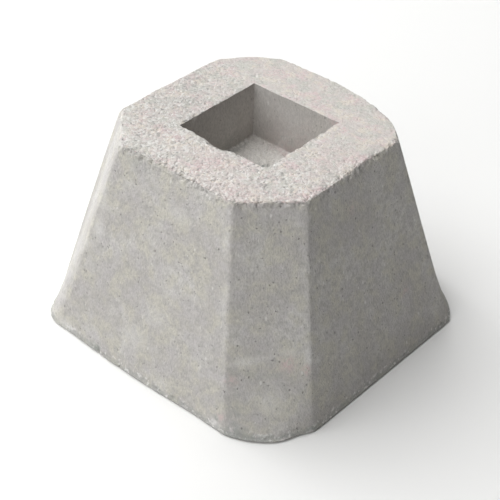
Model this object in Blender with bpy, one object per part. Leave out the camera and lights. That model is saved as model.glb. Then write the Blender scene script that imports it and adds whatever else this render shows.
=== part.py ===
"""Precast concrete pier block: a cut pyramid with chamfered corners and a square post pocket.

Metres, +Z up. The origin is at the middle of the underside, and the four sides face X and Y.
"""

import math
from dataclasses import dataclass

import bmesh
import bpy

# Body: sides measured across the flats, cuts measured along each side
FOOT_SIDE = 0.300
TOP_SIDE = 0.206
HEIGHT = 0.195

# Soft arrises: how far from the sharp edge the rounding starts
CORNER_ARRIS = 0.004
FOOT_ROUNDING = 0.003

# Square pocket that takes the foot of a post
POST_SIDE = 0.090
POST_CLEARANCE = 0.0025
POCKET_DEPTH = 0.053
POCKET_DRAFT = 0.0005

# Crumbled edges: mean width, and the share of it by which the width swings
RIM_CRUMBLE = 0.0024
POCKET_CRUMBLE = 0.0008
CRUMBLE_SWING = 0.55

# How fast an edge's wear fades away from the edge
WEAR_FADE = 2.0

# How far a cutter runs past the face that it opens
CUTTER_OVERRUN = 0.002

# Mesh density
SIDE_STEPS = 6
CUT_STEPS = 6
ARRIS_STEPS = 3
ROUNDING_STEPS = 2
HEIGHT_STEPS = 12
POCKET_STEPS = 14
CHIP_FINENESS = 2

CONCRETE_COLOUR = (0.56, 0.54, 0.51, 1.0)
CONCRETE_ROUGHNESS = 0.95


@dataclass(frozen=True)
class Corner:
    """One chamfered corner: its cut along the sides, and how far its foot bulges past the cut.

    The entry side comes before the corner, going anticlockwise, and the exit side after it. A
    lean of 1 moves most of the bulge towards the exit side, and -1 towards the entry side. The
    fade is how fast the bulge shrinks upwards.
    """

    entry_foot_cut: float
    exit_foot_cut: float
    top_cut: float
    foot_bow: float
    bow_lean: float = 0.0
    bow_fade: float = 6.0


@dataclass(frozen=True)
class Wave:
    """One sine around the block that makes an edge uneven."""

    turns: int
    phase: float
    weight: float


@dataclass(frozen=True)
class Wear:
    """A place where an edge is rubbed or broken back, placed by shares of the half side.

    The reach is measured along the edge, and the spread up or down the face below or above it.
    """

    x_share: float
    y_share: float
    reach: float
    depth: float
    spread: float = 0.045


@dataclass(frozen=True)
class Chip:
    """A flake lost from the foot, placed by shares of the half foot side."""

    name: str
    x_share: float
    y_share: float
    z: float
    radii: tuple[float, float, float]


RIGHT_CORNER = Corner(0.0510, 0.0580, top_cut=0.0440, foot_bow=0.0041, bow_lean=-1.0, bow_fade=5.5)
BACK_CORNER = Corner(0.0540, 0.0515, top_cut=0.0415, foot_bow=0.0100)
LEFT_CORNER = Corner(0.0440, 0.0417, top_cut=0.0395, foot_bow=0.0092, bow_lean=0.9, bow_fade=3.0)
FRONT_CORNER = Corner(0.0540, 0.0515, top_cut=0.0415, foot_bow=0.0102)

CRUMBLE_WAVES = (Wave(7, 0.4, 0.45), Wave(12, 2.1, 0.35), Wave(19, 4.0, 0.20))

RIM_WEAR = (
    Wear(0.505, 0.975, 0.024, 0.0125, spread=0.100),
    Wear(-0.15, 1.00, 0.060, 0.0035),
    Wear(-0.60, 0.96, 0.012, 0.0025),
    Wear(-0.94, 0.58, 0.012, 0.0030),
    Wear(-0.10, -1.00, 0.045, 0.0016),
    Wear(1.00, 0.27, 0.012, 0.0025),
)

FOOT_WEAR = (
    Wear(-0.78, -1.00, 0.056, 0.0058, spread=0.190),
    Wear(0.40, -1.00, 0.028, 0.0013, spread=0.100),
    Wear(0.953, -0.72, 0.012, 0.0034, spread=0.014),
)

POCKET_WEAR = (
    Wear(-0.12, -1.00, 0.014, 0.0042),
    Wear(1.00, -0.35, 0.016, 0.0008),
)

CHIPS = (
    Chip("front_foot_chip", 0.615, -1.010, 0.001, (0.0085, 0.0045, 0.0060)),
    Chip("right_foot_chip", 0.990, -0.640, 0.000, (0.0040, 0.0050, 0.0035)),
    Chip("left_foot_chip", -0.600, -1.010, 0.000, (0.0060, 0.0040, 0.0045)),
    Chip("back_foot_chip", -1.010, 0.250, 0.000, (0.0040, 0.0090, 0.0050)),
)


def blend(low, high, share):
    """Return the value a share of the way from low to high."""
    return low + (high - low) * share


def unevenness(x, y):
    """Return a swing between -1 and 1 that runs smoothly round the block's axis."""
    angle = math.atan2(y, x)
    return sum(wave.weight * math.sin(wave.turns * angle + wave.phase) for wave in CRUMBLE_WAVES)


def crumble_width(x, y, mean):
    """Return the width of a crumbled edge at a place in plan."""
    return mean * (1.0 + CRUMBLE_SWING * unevenness(x, y))


def wear_depth(x, y, half_side, places, distance=0.0):
    """Return how far a face is worn back at a place in plan, at a distance from its worn edge."""
    total = 0.0
    for place in places:
        gap = math.hypot(x - place.x_share * half_side, y - place.y_share * half_side)
        left = max(0.0, 1.0 - distance / place.spread) ** WEAR_FADE
        total += place.depth * left * math.exp(-((gap / place.reach) ** 2))
    return total


def bezier(start, control, end, share):
    """Return a point on the quadratic curve that rounds a corner."""
    rest = 1.0 - share
    return tuple(
        rest * rest * a + 2.0 * rest * share * b + share * share * c
        for a, b, c in zip(start, control, end)
    )


def corner_outline(half, corner, height_share):
    """Return the outline of a corner in +X and +Y, from the middle of one side to the next."""
    entry_cut = blend(corner.entry_foot_cut, corner.top_cut, height_share)
    exit_cut = blend(corner.exit_foot_cut, corner.top_cut, height_share)
    bow = corner.foot_bow * (1.0 - height_share) ** corner.bow_fade
    slant = math.hypot(entry_cut, exit_cut)

    def on_cut(share):
        along = 2.0 * share - 1.0
        bulge = bow * (1.0 - along * along) * (1.0 + corner.bow_lean * along) / slant
        x = half - exit_cut * share + bulge * entry_cut
        y = half - entry_cut * (1.0 - share) + bulge * exit_cut
        return (x, y)

    edge = CORNER_ARRIS / slant
    run_in = half - entry_cut - CORNER_ARRIS
    run_out = half - exit_cut - CORNER_ARRIS
    leaving = on_cut(1.0 - edge)
    points = [(half, run_in * step / SIDE_STEPS) for step in range(SIDE_STEPS)]
    points += [
        bezier((half, run_in), (half, half - entry_cut), on_cut(edge), step / ARRIS_STEPS)
        for step in range(ARRIS_STEPS)
    ]
    points += [on_cut(blend(edge, 1.0 - edge, step / CUT_STEPS)) for step in range(CUT_STEPS)]
    points += [
        bezier(leaving, (half - exit_cut, half), (run_out, half), step / ARRIS_STEPS)
        for step in range(ARRIS_STEPS)
    ]
    points += [(run_out * (1.0 - step / SIDE_STEPS), half) for step in range(SIDE_STEPS)]
    return points


def straight_outline(share):
    """Return the unworn outline at a share of the height, anticlockwise from the +X side."""
    half = blend(FOOT_SIDE, TOP_SIDE, share) / 2.0
    quarter_turns = ((1, 0), (0, 1), (-1, 0), (0, -1))
    corners = (RIGHT_CORNER, BACK_CORNER, LEFT_CORNER, FRONT_CORNER)
    points = []
    for corner, (turn_cos, turn_sin) in zip(corners, quarter_turns):
        for x, y in corner_outline(half, corner, share):
            points.append((x * turn_cos - y * turn_sin, x * turn_sin + y * turn_cos))
    return points


def drawn_in(points, widths):
    """Move each point of an outline straight towards the axis by its own width."""
    scales = [1.0 - width / math.hypot(x, y) for (x, y), width in zip(points, widths)]
    return [(x * scale, y * scale) for (x, y), scale in zip(points, scales)]


def body_outline(height):
    """Return the block's outline at a height, with its rim and its foot worn back."""
    points = straight_outline(height / HEIGHT)
    widths = [
        wear_depth(x, y, TOP_SIDE / 2.0, RIM_WEAR, HEIGHT - height)
        + wear_depth(x, y, FOOT_SIDE / 2.0, FOOT_WEAR, height)
        for x, y in points
    ]
    return drawn_in(points, widths)


def foot_rings():
    """Return the rings that round the foot, from the underside up."""
    foot = body_outline(0.0)
    rings = []
    for step in range(ROUNDING_STEPS + 1):
        angle = math.pi / 2.0 * step / ROUNDING_STEPS
        edge = drawn_in(foot, [FOOT_ROUNDING * (1.0 - math.sin(angle))] * len(foot))
        rings.append([(x, y, FOOT_ROUNDING * (1.0 - math.cos(angle))) for x, y in edge])
    return rings


def side_rings():
    """Return the rings of the sloping sides, from above the foot to below the rim."""
    shoulder = HEIGHT - RIM_CRUMBLE * (1.0 + CRUMBLE_SWING)
    rings = []
    for step in range(1, HEIGHT_STEPS + 1):
        height = blend(FOOT_ROUNDING, shoulder, step / HEIGHT_STEPS)
        rings.append([(x, y, height) for x, y in body_outline(height)])
    return rings


def rim_rings():
    """Return the rings of the crumbled rim, up to the flat top."""
    top = body_outline(HEIGHT)
    widths = [crumble_width(x, y, RIM_CRUMBLE) for x, y in top]
    rings = []
    for step in range(1, ROUNDING_STEPS + 1):
        angle = math.pi / 2.0 * step / ROUNDING_STEPS
        edge = drawn_in(top, [width * (1.0 - math.cos(angle)) for width in widths])
        drops = [width * (1.0 - math.sin(angle)) for width in widths]
        rings.append([(x, y, HEIGHT - drop) for (x, y), drop in zip(edge, drops)])
    return rings


def square_outline(half):
    """Return a square's outline with its sides divided evenly, anticlockwise."""
    points = []
    corners = ((half, -half), (half, half), (-half, half), (-half, -half))
    for index, (x, y) in enumerate(corners):
        next_x, next_y = corners[(index + 1) % 4]
        for step in range(POCKET_STEPS):
            share = step / POCKET_STEPS
            points.append((blend(x, next_x, share), blend(y, next_y, share)))
    return points


def pocket_rings():
    """Return the pocket's rings of points, from its floor to above the block's top."""
    half = POST_SIDE / 2.0 + POST_CLEARANCE
    mouth = square_outline(half)
    widths = [
        crumble_width(x, y, POCKET_CRUMBLE) + wear_depth(x, y, half, POCKET_WEAR)
        for x, y in mouth
    ]
    floor = [(x, y, HEIGHT - POCKET_DEPTH) for x, y in square_outline(half - POCKET_DRAFT)]
    edge = [(x, y, HEIGHT - width) for (x, y), width in zip(mouth, widths)]
    scales = [1.0 + (width + CUTTER_OVERRUN) / half for width in widths]
    flare = [(x * scale, y * scale, HEIGHT + CUTTER_OVERRUN) for (x, y), scale in zip(mouth, scales)]
    return [floor, edge, flare]


def lofted_mesh(name, rings):
    """Make a closed mesh through rings of the same number of points, with flat ends."""
    cage = bmesh.new()
    loops = [[cage.verts.new(point) for point in ring] for ring in rings]
    count = len(loops[0])
    for lower, upper in zip(loops, loops[1:]):
        for index in range(count):
            after = (index + 1) % count
            cage.faces.new((lower[index], lower[after], upper[after], upper[index]))
    cage.faces.new(reversed(loops[0]))
    cage.faces.new(loops[-1])
    mesh = bpy.data.meshes.new(name)
    cage.to_mesh(mesh)
    cage.free()
    return mesh


def chip_mesh(chip):
    """Make the rounded lump that takes one flake off the foot."""
    lump = bmesh.new()
    bmesh.ops.create_icosphere(lump, subdivisions=CHIP_FINENESS, radius=1.0)
    bmesh.ops.scale(lump, vec=chip.radii, verts=lump.verts)
    mesh = bpy.data.meshes.new(chip.name)
    lump.to_mesh(mesh)
    lump.free()
    return mesh


def concrete():
    """Make the plain concrete material."""
    material = bpy.data.materials.new("concrete")
    material.use_nodes = True
    shader = material.node_tree.nodes["Principled BSDF"]
    shader.inputs["Base Color"].default_value = CONCRETE_COLOUR
    shader.inputs["Roughness"].default_value = CONCRETE_ROUGHNESS
    shader.inputs["Metallic"].default_value = 0.0
    return material


def new_collection(name):
    """Make a collection in the scene."""
    collection = bpy.data.collections.new(name)
    bpy.context.scene.collection.children.link(collection)
    return collection


def place(mesh, collection):
    """Put a mesh in the scene as an object of the same name."""
    thing = bpy.data.objects.new(mesh.name, mesh)
    collection.objects.link(thing)
    return thing


def place_cutter(mesh, collection):
    """Put a cutting shape in the scene, drawn as a wire and left out of renders."""
    cutter = place(mesh, collection)
    cutter.display_type = "WIRE"
    cutter.hide_render = True
    return cutter


def cut_away(body, cutter):
    """Take a cutter's shape out of the body."""
    boolean = body.modifiers.new(cutter.name, "BOOLEAN")
    boolean.operation = "DIFFERENCE"
    boolean.solver = "EXACT"
    boolean.object = cutter


def clear_scene():
    """Remove every object that the scene holds."""
    for thing in list(bpy.data.objects):
        bpy.data.objects.remove(thing, do_unlink=True)


def main():
    """Build the block and cut its pocket and its chips."""
    clear_scene()
    part = new_collection("Concrete pier block")
    cutters = new_collection("Cutters")

    rings = foot_rings() + side_rings() + rim_rings()
    body = place(lofted_mesh("pier_block", rings), part)
    body.data.materials.append(concrete())
    cut_away(body, place_cutter(lofted_mesh("post_pocket", pocket_rings()), cutters))

    half_foot = FOOT_SIDE / 2.0
    for chip in CHIPS:
        cutter = place_cutter(chip_mesh(chip), cutters)
        cutter.location = (chip.x_share * half_foot, chip.y_share * half_foot, chip.z)
        cut_away(body, cutter)


main()
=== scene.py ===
"""Finished look of a precast concrete pier block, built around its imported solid.

The block is one dry casting: smooth moulded sides with pinholes, and an open, grainy top round
a square post pocket. The body is lofted finely from named sizes, roughened by a Geometry Nodes
tree and thinned to an even share of triangles. Stray grains of sand and stone that stand proud
of the top are scattered by a second tree.
Metres, +Z up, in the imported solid's own frame.
"""

import logging
import math
from dataclasses import dataclass, field
from enum import Enum

import bmesh
import bpy
import numpy as np
from mathutils import Matrix, Vector


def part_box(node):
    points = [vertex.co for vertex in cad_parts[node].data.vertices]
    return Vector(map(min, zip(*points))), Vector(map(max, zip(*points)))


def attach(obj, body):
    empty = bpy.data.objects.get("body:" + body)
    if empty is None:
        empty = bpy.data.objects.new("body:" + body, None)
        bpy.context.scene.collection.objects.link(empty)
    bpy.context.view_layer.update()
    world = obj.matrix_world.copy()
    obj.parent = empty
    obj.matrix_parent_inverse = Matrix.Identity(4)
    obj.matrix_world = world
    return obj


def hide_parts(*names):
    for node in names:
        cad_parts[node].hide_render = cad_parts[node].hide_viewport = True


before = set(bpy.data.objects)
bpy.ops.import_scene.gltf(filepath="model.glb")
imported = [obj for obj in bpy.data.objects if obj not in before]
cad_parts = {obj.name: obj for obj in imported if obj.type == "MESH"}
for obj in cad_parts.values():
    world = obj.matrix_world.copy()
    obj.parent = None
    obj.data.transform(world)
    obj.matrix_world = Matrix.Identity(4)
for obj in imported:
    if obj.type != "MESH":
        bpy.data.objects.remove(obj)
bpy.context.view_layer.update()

LOG = logging.getLogger("pier_block")

NODE = "pier_block"
BODY = "root"
PIT = "pit"
OPENNESS = "open"
TINT = "tint"

Socket = bpy.types.NodeSocket
Value = float | int | tuple | Socket
Colour = tuple[float, float, float, float]


class Zone(Enum):
    """The parts of the casting's skin that are finished differently."""

    TOP = "zone_top"
    RIM = "zone_rim"
    SIDE = "zone_side"
    FLOOR = "zone_floor"
    FOOT = "zone_foot"


class Stain(Enum):
    """The marks on the casting that are only colour: real stains, and painted light and shade."""

    # Pale stains and chips, and painted light and highlights.
    BLOOM = "stain_bloom"
    BLUSH = "stain_blush"
    # Stains of dampness, and painted shade and contact shadow.
    DAMP = "stain_damp"


class Wiring:
    """Adds nodes to a shader or geometry tree and joins them."""

    def __init__(self, tree: bpy.types.NodeTree) -> None:
        """Keep the tree that the nodes go in."""
        self.tree = tree

    def add(self, kind: str, **settings: object) -> bpy.types.Node:
        """Add one node.

        Args:
            kind: Blender's identifier of the node.
            settings: Properties to set on it, by name.

        Returns:
            The new node.
        """
        node = self.tree.nodes.new(kind)
        for name, value in settings.items():
            setattr(node, name, value)
        return node

    def feed(self, target: Socket, value: Value) -> None:
        """Give an input its value, by a link or as a plain number.

        Args:
            target: The input socket.
            value: Another node's output, or the number or colour to set.
        """
        if isinstance(value, bpy.types.NodeSocket):
            self.tree.links.new(value, target)
        else:
            target.default_value = value

    def math(self, operation: str, *values: Value, clamp: bool = False) -> Socket:
        """Add a sum.

        Args:
            operation: Blender's name of the sum, such as MULTIPLY.
            values: Its one, two or three operands.
            clamp: Whether the result is kept between 0 and 1.

        Returns:
            The result.
        """
        node = self.add("ShaderNodeMath", operation=operation, use_clamp=clamp)
        for target, value in zip(node.inputs, values):
            self.feed(target, value)
        return node.outputs[0]

    def total(self, *values: Value) -> Socket:
        """Add any number of values together.

        Args:
            values: The values, at least two.

        Returns:
            Their sum.
        """
        result = values[0]
        for value in values[1:]:
            result = self.math("ADD", result, value)
        return result

    def product(self, *values: Value) -> Socket:
        """Multiply any number of values together.

        Args:
            values: The values, at least two.

        Returns:
            Their product.
        """
        result = values[0]
        for value in values[1:]:
            result = self.math("MULTIPLY", result, value)
        return result

    def ramp(self, value: Value, low: float, high: float, start: float = 0.0, end: float = 1.0) -> Socket:
        """Add a smooth step.

        Args:
            value: What is looked up.
            low: Where the step starts.
            high: Where the step ends.
            start: The result below the step.
            end: The result above the step.

        Returns:
            The step's result.
        """
        node = self.add("ShaderNodeMapRange", interpolation_type="SMOOTHSTEP")
        for name, number in zip(
            ("Value", "From Min", "From Max", "To Min", "To Max"), (value, low, high, start, end)
        ):
            self.feed(node.inputs[name], number)
        return node.outputs["Result"]

    def noise(self, place: Socket, size: Value, detail: float = 2.0, roughness: float = 0.5) -> Socket:
        """Add soft noise of a real size.

        Args:
            place: The position that it is read at, in metres.
            size: The size of its lumps, in metres.
            detail: How many finer layers it has.
            roughness: How strong the finer layers are.

        Returns:
            The noise, about 0 to 1 and 0.5 on average.
        """
        node = self.add("ShaderNodeTexNoise", noise_dimensions="3D", normalize=True)
        self.feed(node.inputs["Vector"], place)
        self.feed(node.inputs["Scale"], self.math("DIVIDE", 1.0, size))
        node.inputs["Detail"].default_value = detail
        node.inputs["Roughness"].default_value = roughness
        return node.outputs[0]

    def cells(self, place: Socket, size: Value) -> tuple[Socket, Socket]:
        """Add grains: cells of a real size round scattered points.

        Args:
            place: The position that they are read at, in metres.
            size: The size of a grain, in metres.

        Returns:
            The distance from the grain's middle in grain sizes, and the grain's random colour.
        """
        node = self.add("ShaderNodeTexVoronoi", voronoi_dimensions="3D", feature="F1")
        self.feed(node.inputs["Vector"], place)
        self.feed(node.inputs["Scale"], self.math("DIVIDE", 1.0, size))
        return node.outputs["Distance"], node.outputs["Color"]

    def split(self, vector: Socket) -> tuple[Socket, Socket, Socket]:
        """Take a vector or colour apart.

        Args:
            vector: The vector.

        Returns:
            Its three parts.
        """
        node = self.add("ShaderNodeSeparateXYZ")
        self.feed(node.inputs[0], vector)
        return node.outputs[0], node.outputs[1], node.outputs[2]

    def stretch(self, place: Socket, scale: tuple[float, float, float]) -> Socket:
        """Scale a position along each axis.

        Args:
            place: The position.
            scale: The three factors.

        Returns:
            The scaled position.
        """
        node = self.add("ShaderNodeVectorMath", operation="MULTIPLY")
        self.feed(node.inputs[0], place)
        self.feed(node.inputs[1], scale)
        return node.outputs[0]

    def moved(self, place: Socket, shift: float) -> Socket:
        """Shift a position the same way along every axis, so that a pattern differs there.

        Args:
            place: The position.
            shift: How far, in metres.

        Returns:
            The shifted position.
        """
        node = self.add("ShaderNodeVectorMath", operation="ADD")
        self.feed(node.inputs[0], place)
        self.feed(node.inputs[1], (shift, shift, shift))
        return node.outputs[0]

    def shaded(self, colour: Socket, factor: Value) -> Socket:
        """Make a colour lighter or darker.

        Args:
            colour: The colour.
            factor: What its three parts are multiplied by.

        Returns:
            The new colour.
        """
        node = self.add("ShaderNodeVectorMath", operation="SCALE")
        self.feed(node.inputs[0], colour)
        self.feed(node.inputs["Scale"], factor)
        return node.outputs[0]

    def mix(self, share: Value, first: Value, second: Value) -> Socket:
        """Blend two colours.

        Args:
            share: How much of the second colour shows, 0 to 1.
            first: The first colour.
            second: The second colour.

        Returns:
            The blend.
        """
        node = self.add("ShaderNodeMix", data_type="RGBA", clamp_factor=True)
        self.feed(node.inputs[0], share)
        self.feed(node.inputs[6], first)
        self.feed(node.inputs[7], second)
        return node.outputs[2]


@dataclass(frozen=True)
class Corner:
    """One chamfered corner: its cut along the sides, and how far its foot bulges past the cut.

    The entry side comes before the corner, going anticlockwise, and the exit side after it. A
    lean of 1 moves most of the bulge towards the exit side, and -1 towards the entry side. The
    fade is how fast the bulge shrinks upwards.
    """

    entry_foot_cut: float
    exit_foot_cut: float
    top_cut: float
    foot_bow: float
    bow_lean: float = 0.0
    bow_fade: float = 6.0


@dataclass(frozen=True)
class Wear:
    """A place where an edge is rubbed or broken back, placed by shares of the half side.

    The reach is measured along the edge, and the spread up or down the face below or above it.
    """

    x_share: float
    y_share: float
    reach: float
    depth: float
    spread: float = 0.045


@dataclass(frozen=True)
class Wave:
    """One sine round the block that makes an edge uneven."""

    turns: int
    phase: float
    weight: float


@dataclass(frozen=True)
class Spot:
    """A soft-edged mark on the skin, placed in metres."""

    stain: Stain
    place: tuple[float, float, float]
    reach: tuple[float, float, float]
    strength: float


@dataclass
class CastForm:
    """The moulded form: fine rings of points from the underside up, over the rim and into the pocket."""

    foot_side: float
    height: float
    top_side: float = 0.206
    corner_arris: float = 0.0025
    foot_rounding: float = 0.003
    pocket_side: float = 0.095
    pocket_depth: float = 0.053
    pocket_draft: float = 0.0005
    pocket_heel: float = 0.0008
    rim_crumble: float = 0.0024
    pocket_crumble: float = 0.0008
    mouth_crumble: float = 0.6
    crumble_swing: float = 0.55
    wear_fade: float = 2.0
    side_steps: int = 84
    arris_steps: int = 12
    cut_steps: int = 54
    foot_steps: int = 5
    wall_steps: int = 210
    rim_steps: int = 7
    top_steps: int = 76
    pocket_steps: int = 26
    heel_steps: int = 3
    floor_steps: int = 34
    corners: tuple[Corner, ...] = (
        Corner(0.0510, 0.0580, top_cut=0.0440, foot_bow=0.0041, bow_lean=-1.0, bow_fade=5.5),
        Corner(0.0540, 0.0515, top_cut=0.0415, foot_bow=0.0100),
        Corner(0.0440, 0.0417, top_cut=0.0395, foot_bow=0.0092, bow_lean=0.9, bow_fade=3.0),
        Corner(0.0540, 0.0515, top_cut=0.0415, foot_bow=0.0102),
    )
    waves: tuple[Wave, ...] = (Wave(7, 0.4, 0.45), Wave(12, 2.1, 0.35), Wave(19, 4.0, 0.20))
    rim_wear: tuple[Wear, ...] = (
        Wear(0.589, 1.05, 0.0236, 0.0124, spread=0.100),
        Wear(0.261, 1.01, 0.0124, 0.0035, spread=0.100),
        Wear(-0.15, 1.00, 0.060, 0.0035),
        Wear(-0.60, 0.96, 0.012, 0.0025),
        Wear(-0.94, 0.58, 0.012, 0.0030),
        Wear(-0.10, -1.00, 0.045, 0.0016),
        Wear(1.00, 0.15, 0.012, 0.0025),
    )
    foot_wear: tuple[Wear, ...] = (
        Wear(-0.78, -1.00, 0.056, 0.0058, spread=0.190),
        Wear(0.40, -1.00, 0.028, 0.0013, spread=0.100),
        Wear(0.953, -0.72, 0.012, 0.0034, spread=0.014),
    )
    pocket_wear: tuple[Wear, ...] = (
        Wear(-0.12, -1.00, 0.014, 0.0042),
        Wear(1.00, -0.35, 0.016, 0.0008),
    )
    points: list[np.ndarray] = field(default_factory=list)
    zones: dict[Zone, list[float]] = field(default_factory=lambda: {zone: [] for zone in Zone})

    def unevenness(self, plan: np.ndarray) -> np.ndarray:
        """Return a swing between -1 and 1 that runs smoothly round the axis.

        Args:
            plan: Points in plan, one row each.

        Returns:
            The swing at each point.
        """
        angle = np.arctan2(plan[:, 1], plan[:, 0])
        return sum(wave.weight * np.sin(wave.turns * angle + wave.phase) for wave in self.waves)

    def crumble(self, plan: np.ndarray, mean: float) -> np.ndarray:
        """Return the width of a crumbled edge.

        Args:
            plan: Points in plan, one row each.
            mean: The width on average, in metres.

        Returns:
            The width at each point.
        """
        return mean * (1.0 + self.crumble_swing * self.unevenness(plan))

    def worn(self, plan: np.ndarray, half: float, places: tuple[Wear, ...], distance: float = 0.0
             ) -> np.ndarray:
        """Return how far a face is worn back.

        Args:
            plan: Points in plan, one row each.
            half: Half the side that the places are shares of.
            places: The worn places.
            distance: How far the points are below or above the worn edge.

        Returns:
            The depth at each point.
        """
        depth = np.zeros(len(plan))
        for place in places:
            gap = np.hypot(plan[:, 0] - place.x_share * half, plan[:, 1] - place.y_share * half)
            left = max(0.0, 1.0 - distance / place.spread) ** self.wear_fade
            depth += place.depth * left * np.exp(-((gap / place.reach) ** 2))
        return depth

    @staticmethod
    def drawn_in(plan: np.ndarray, widths: np.ndarray | float) -> np.ndarray:
        """Move each point straight towards the axis.

        Args:
            plan: Points in plan, one row each.
            widths: How far each point moves, in metres.

        Returns:
            The moved points.
        """
        scale = 1.0 - widths / np.hypot(plan[:, 0], plan[:, 1])
        return plan * scale[:, None]

    def corner_outline(self, half: float, corner: Corner, share: float) -> np.ndarray:
        """Return a corner's outline in +X and +Y, from the middle of one side to the next.

        Args:
            half: Half the side.
            corner: The corner's sizes.
            share: How high the outline is, as a share of the height.

        Returns:
            Points in plan, one row each.
        """
        entry_cut = corner.entry_foot_cut + (corner.top_cut - corner.entry_foot_cut) * share
        exit_cut = corner.exit_foot_cut + (corner.top_cut - corner.exit_foot_cut) * share
        bow = corner.foot_bow * (1.0 - share) ** corner.bow_fade
        slant = math.hypot(entry_cut, exit_cut)

        def on_cut(part: np.ndarray) -> np.ndarray:
            """Return points on the bulging chamfer.

            Args:
                part: How far along the chamfer each point is, 0 to 1.

            Returns:
                Points in plan, one row each.
            """
            along = 2.0 * part - 1.0
            bulge = bow * (1.0 - along**2) * (1.0 + corner.bow_lean * along) / slant
            x = half - exit_cut * part + bulge * entry_cut
            y = half - entry_cut * (1.0 - part) + bulge * exit_cut
            return np.stack([x, y], axis=1)

        edge = self.corner_arris / slant
        cut = on_cut(np.linspace(edge, 1.0 - edge, self.cut_steps + 1))
        rise = np.arange(self.side_steps) / self.side_steps
        run_in = half - entry_cut - self.corner_arris
        run_out = half - exit_cut - self.corner_arris
        return np.concatenate([
            np.stack([np.full(self.side_steps, half), run_in * rise], axis=1),
            self.rounded((half, run_in), (half, half - entry_cut), cut[0]),
            cut[:-1],
            self.rounded(cut[-1], (half - exit_cut, half), (run_out, half)),
            np.stack([run_out * (1.0 - rise), np.full(self.side_steps, half)], axis=1),
        ])

    def rounded(self, start: np.ndarray, sharp: np.ndarray, end: np.ndarray) -> np.ndarray:
        """Return the curve that rounds an arris, without its last point.

        Args:
            start: Where the rounding starts.
            sharp: The sharp edge that it rounds.
            end: Where the rounding ends.

        Returns:
            Points in plan, one row each.
        """
        share = (np.arange(self.arris_steps) / self.arris_steps)[:, None]
        rest = 1.0 - share
        return rest**2 * np.array(start) + 2 * rest * share * np.array(sharp) + share**2 * np.array(end)

    def outline(self, height: float) -> np.ndarray:
        """Return the outline at a height, worn at its rim and its foot.

        Args:
            height: Height above the underside.

        Returns:
            Points in plan, one row each, anticlockwise from the middle of the +X side.
        """
        share = height / self.height
        half = (self.foot_side + (self.top_side - self.foot_side) * share) / 2.0
        quarters = []
        for quarter, corner in enumerate(self.corners):
            turn = Matrix.Rotation(math.pi / 2.0 * quarter, 2)
            quarters.append(self.corner_outline(half, corner, share) @ np.array(turn).T)
        plan = np.concatenate(quarters)
        depth = self.worn(plan, self.top_side / 2.0, self.rim_wear, self.height - height)
        depth += self.worn(plan, self.foot_side / 2.0, self.foot_wear, height)
        return self.drawn_in(plan, depth)

    def pocket_outline(self, half: float) -> np.ndarray:
        """Return a square outline with as many points as the body's.

        Args:
            half: Half the square's side.

        Returns:
            Points in plan, one row each, anticlockwise from the middle of the +X side.
        """
        steps = self.side_steps + self.arris_steps + self.cut_steps // 2
        rise = np.arange(steps) / steps
        up = np.stack([np.full(steps, half), half * rise], axis=1)
        across = np.stack([half * (1.0 - rise), np.full(steps, half)], axis=1)
        quarter = np.concatenate([up, across])
        turns = [np.array(Matrix.Rotation(math.pi / 2.0 * index, 2)) for index in range(4)]
        return np.concatenate([quarter @ turn.T for turn in turns])

    def ring(self, plan: np.ndarray, height: np.ndarray | float, **zones: np.ndarray | float) -> None:
        """Add one ring of points.

        Args:
            plan: Its points in plan.
            height: Its height, the same all round or one for each point.
            zones: How far the ring is in each zone, by the zone's lower-case name.
        """
        count = len(plan)
        heights = np.broadcast_to(height, count)
        self.points.append(np.column_stack([plan, heights]))
        for zone in Zone:
            share = zones.get(zone.name.lower(), 0.0)
            self.zones[zone].append(np.broadcast_to(share, count))

    def lay_foot(self) -> None:
        """Add the rings that round the foot."""
        foot = self.outline(0.0)
        for step in range(self.foot_steps + 1):
            angle = math.pi / 2.0 * step / self.foot_steps
            plan = self.drawn_in(foot, self.foot_rounding * (1.0 - math.sin(angle)))
            share = step / self.foot_steps
            self.ring(plan, self.foot_rounding * (1.0 - math.cos(angle)), foot=share, side=share)

    def lay_sides(self) -> None:
        """Add the rings of the sloping sides."""
        shoulder = self.height - self.rim_crumble * (1.0 + self.crumble_swing)
        foot_reach, rim_reach = 0.007, 0.009
        for step in range(1, self.wall_steps + 1):
            height = self.foot_rounding + (shoulder - self.foot_rounding) * step / self.wall_steps
            near_foot = max(0.0, 1.0 - (height - self.foot_rounding) / foot_reach)
            near_rim = max(0.0, 1.0 - (shoulder - height) / rim_reach)
            self.ring(self.outline(height), height, side=1.0, foot=near_foot, rim=near_rim**2)

    def lay_rim(self) -> np.ndarray:
        """Add the rings of the crumbled rim.

        Returns:
            The top's outer outline, where the rim ends.
        """
        top = self.outline(self.height)
        widths = self.crumble(top, self.rim_crumble)
        for step in range(1, self.rim_steps + 1):
            angle = math.pi / 2.0 * step / self.rim_steps
            plan = self.drawn_in(top, widths * (1.0 - math.cos(angle)))
            share = step / self.rim_steps
            drop = widths * (1.0 - math.sin(angle))
            self.ring(plan, self.height - drop, side=1.0 - share, top=share, rim=1.0)
        return self.drawn_in(top, widths)

    def lay_top(self, rim: np.ndarray) -> None:
        """Add the rings of the top, and the pocket's worn mouth.

        Args:
            rim: The top's outer outline.
        """
        half = self.pocket_side / 2.0
        mouth = self.pocket_outline(half)
        lip = self.mouth_lip(mouth, half)
        inner = mouth * (1.0 + lip / half)[:, None]
        rim_reach, mouth_reach = 0.12, 0.04
        for step in range(1, self.top_steps + 1):
            share = step / self.top_steps
            near_rim = max(0.0, 1.0 - share / rim_reach)
            near_mouth = self.mouth_crumble * max(0.0, 1.0 - (1.0 - share) / mouth_reach)
            self.ring(rim + (inner - rim) * share, self.height, top=1.0, rim=near_rim + near_mouth)
        self.ring(mouth, self.height - lip, rim=self.mouth_crumble)

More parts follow.
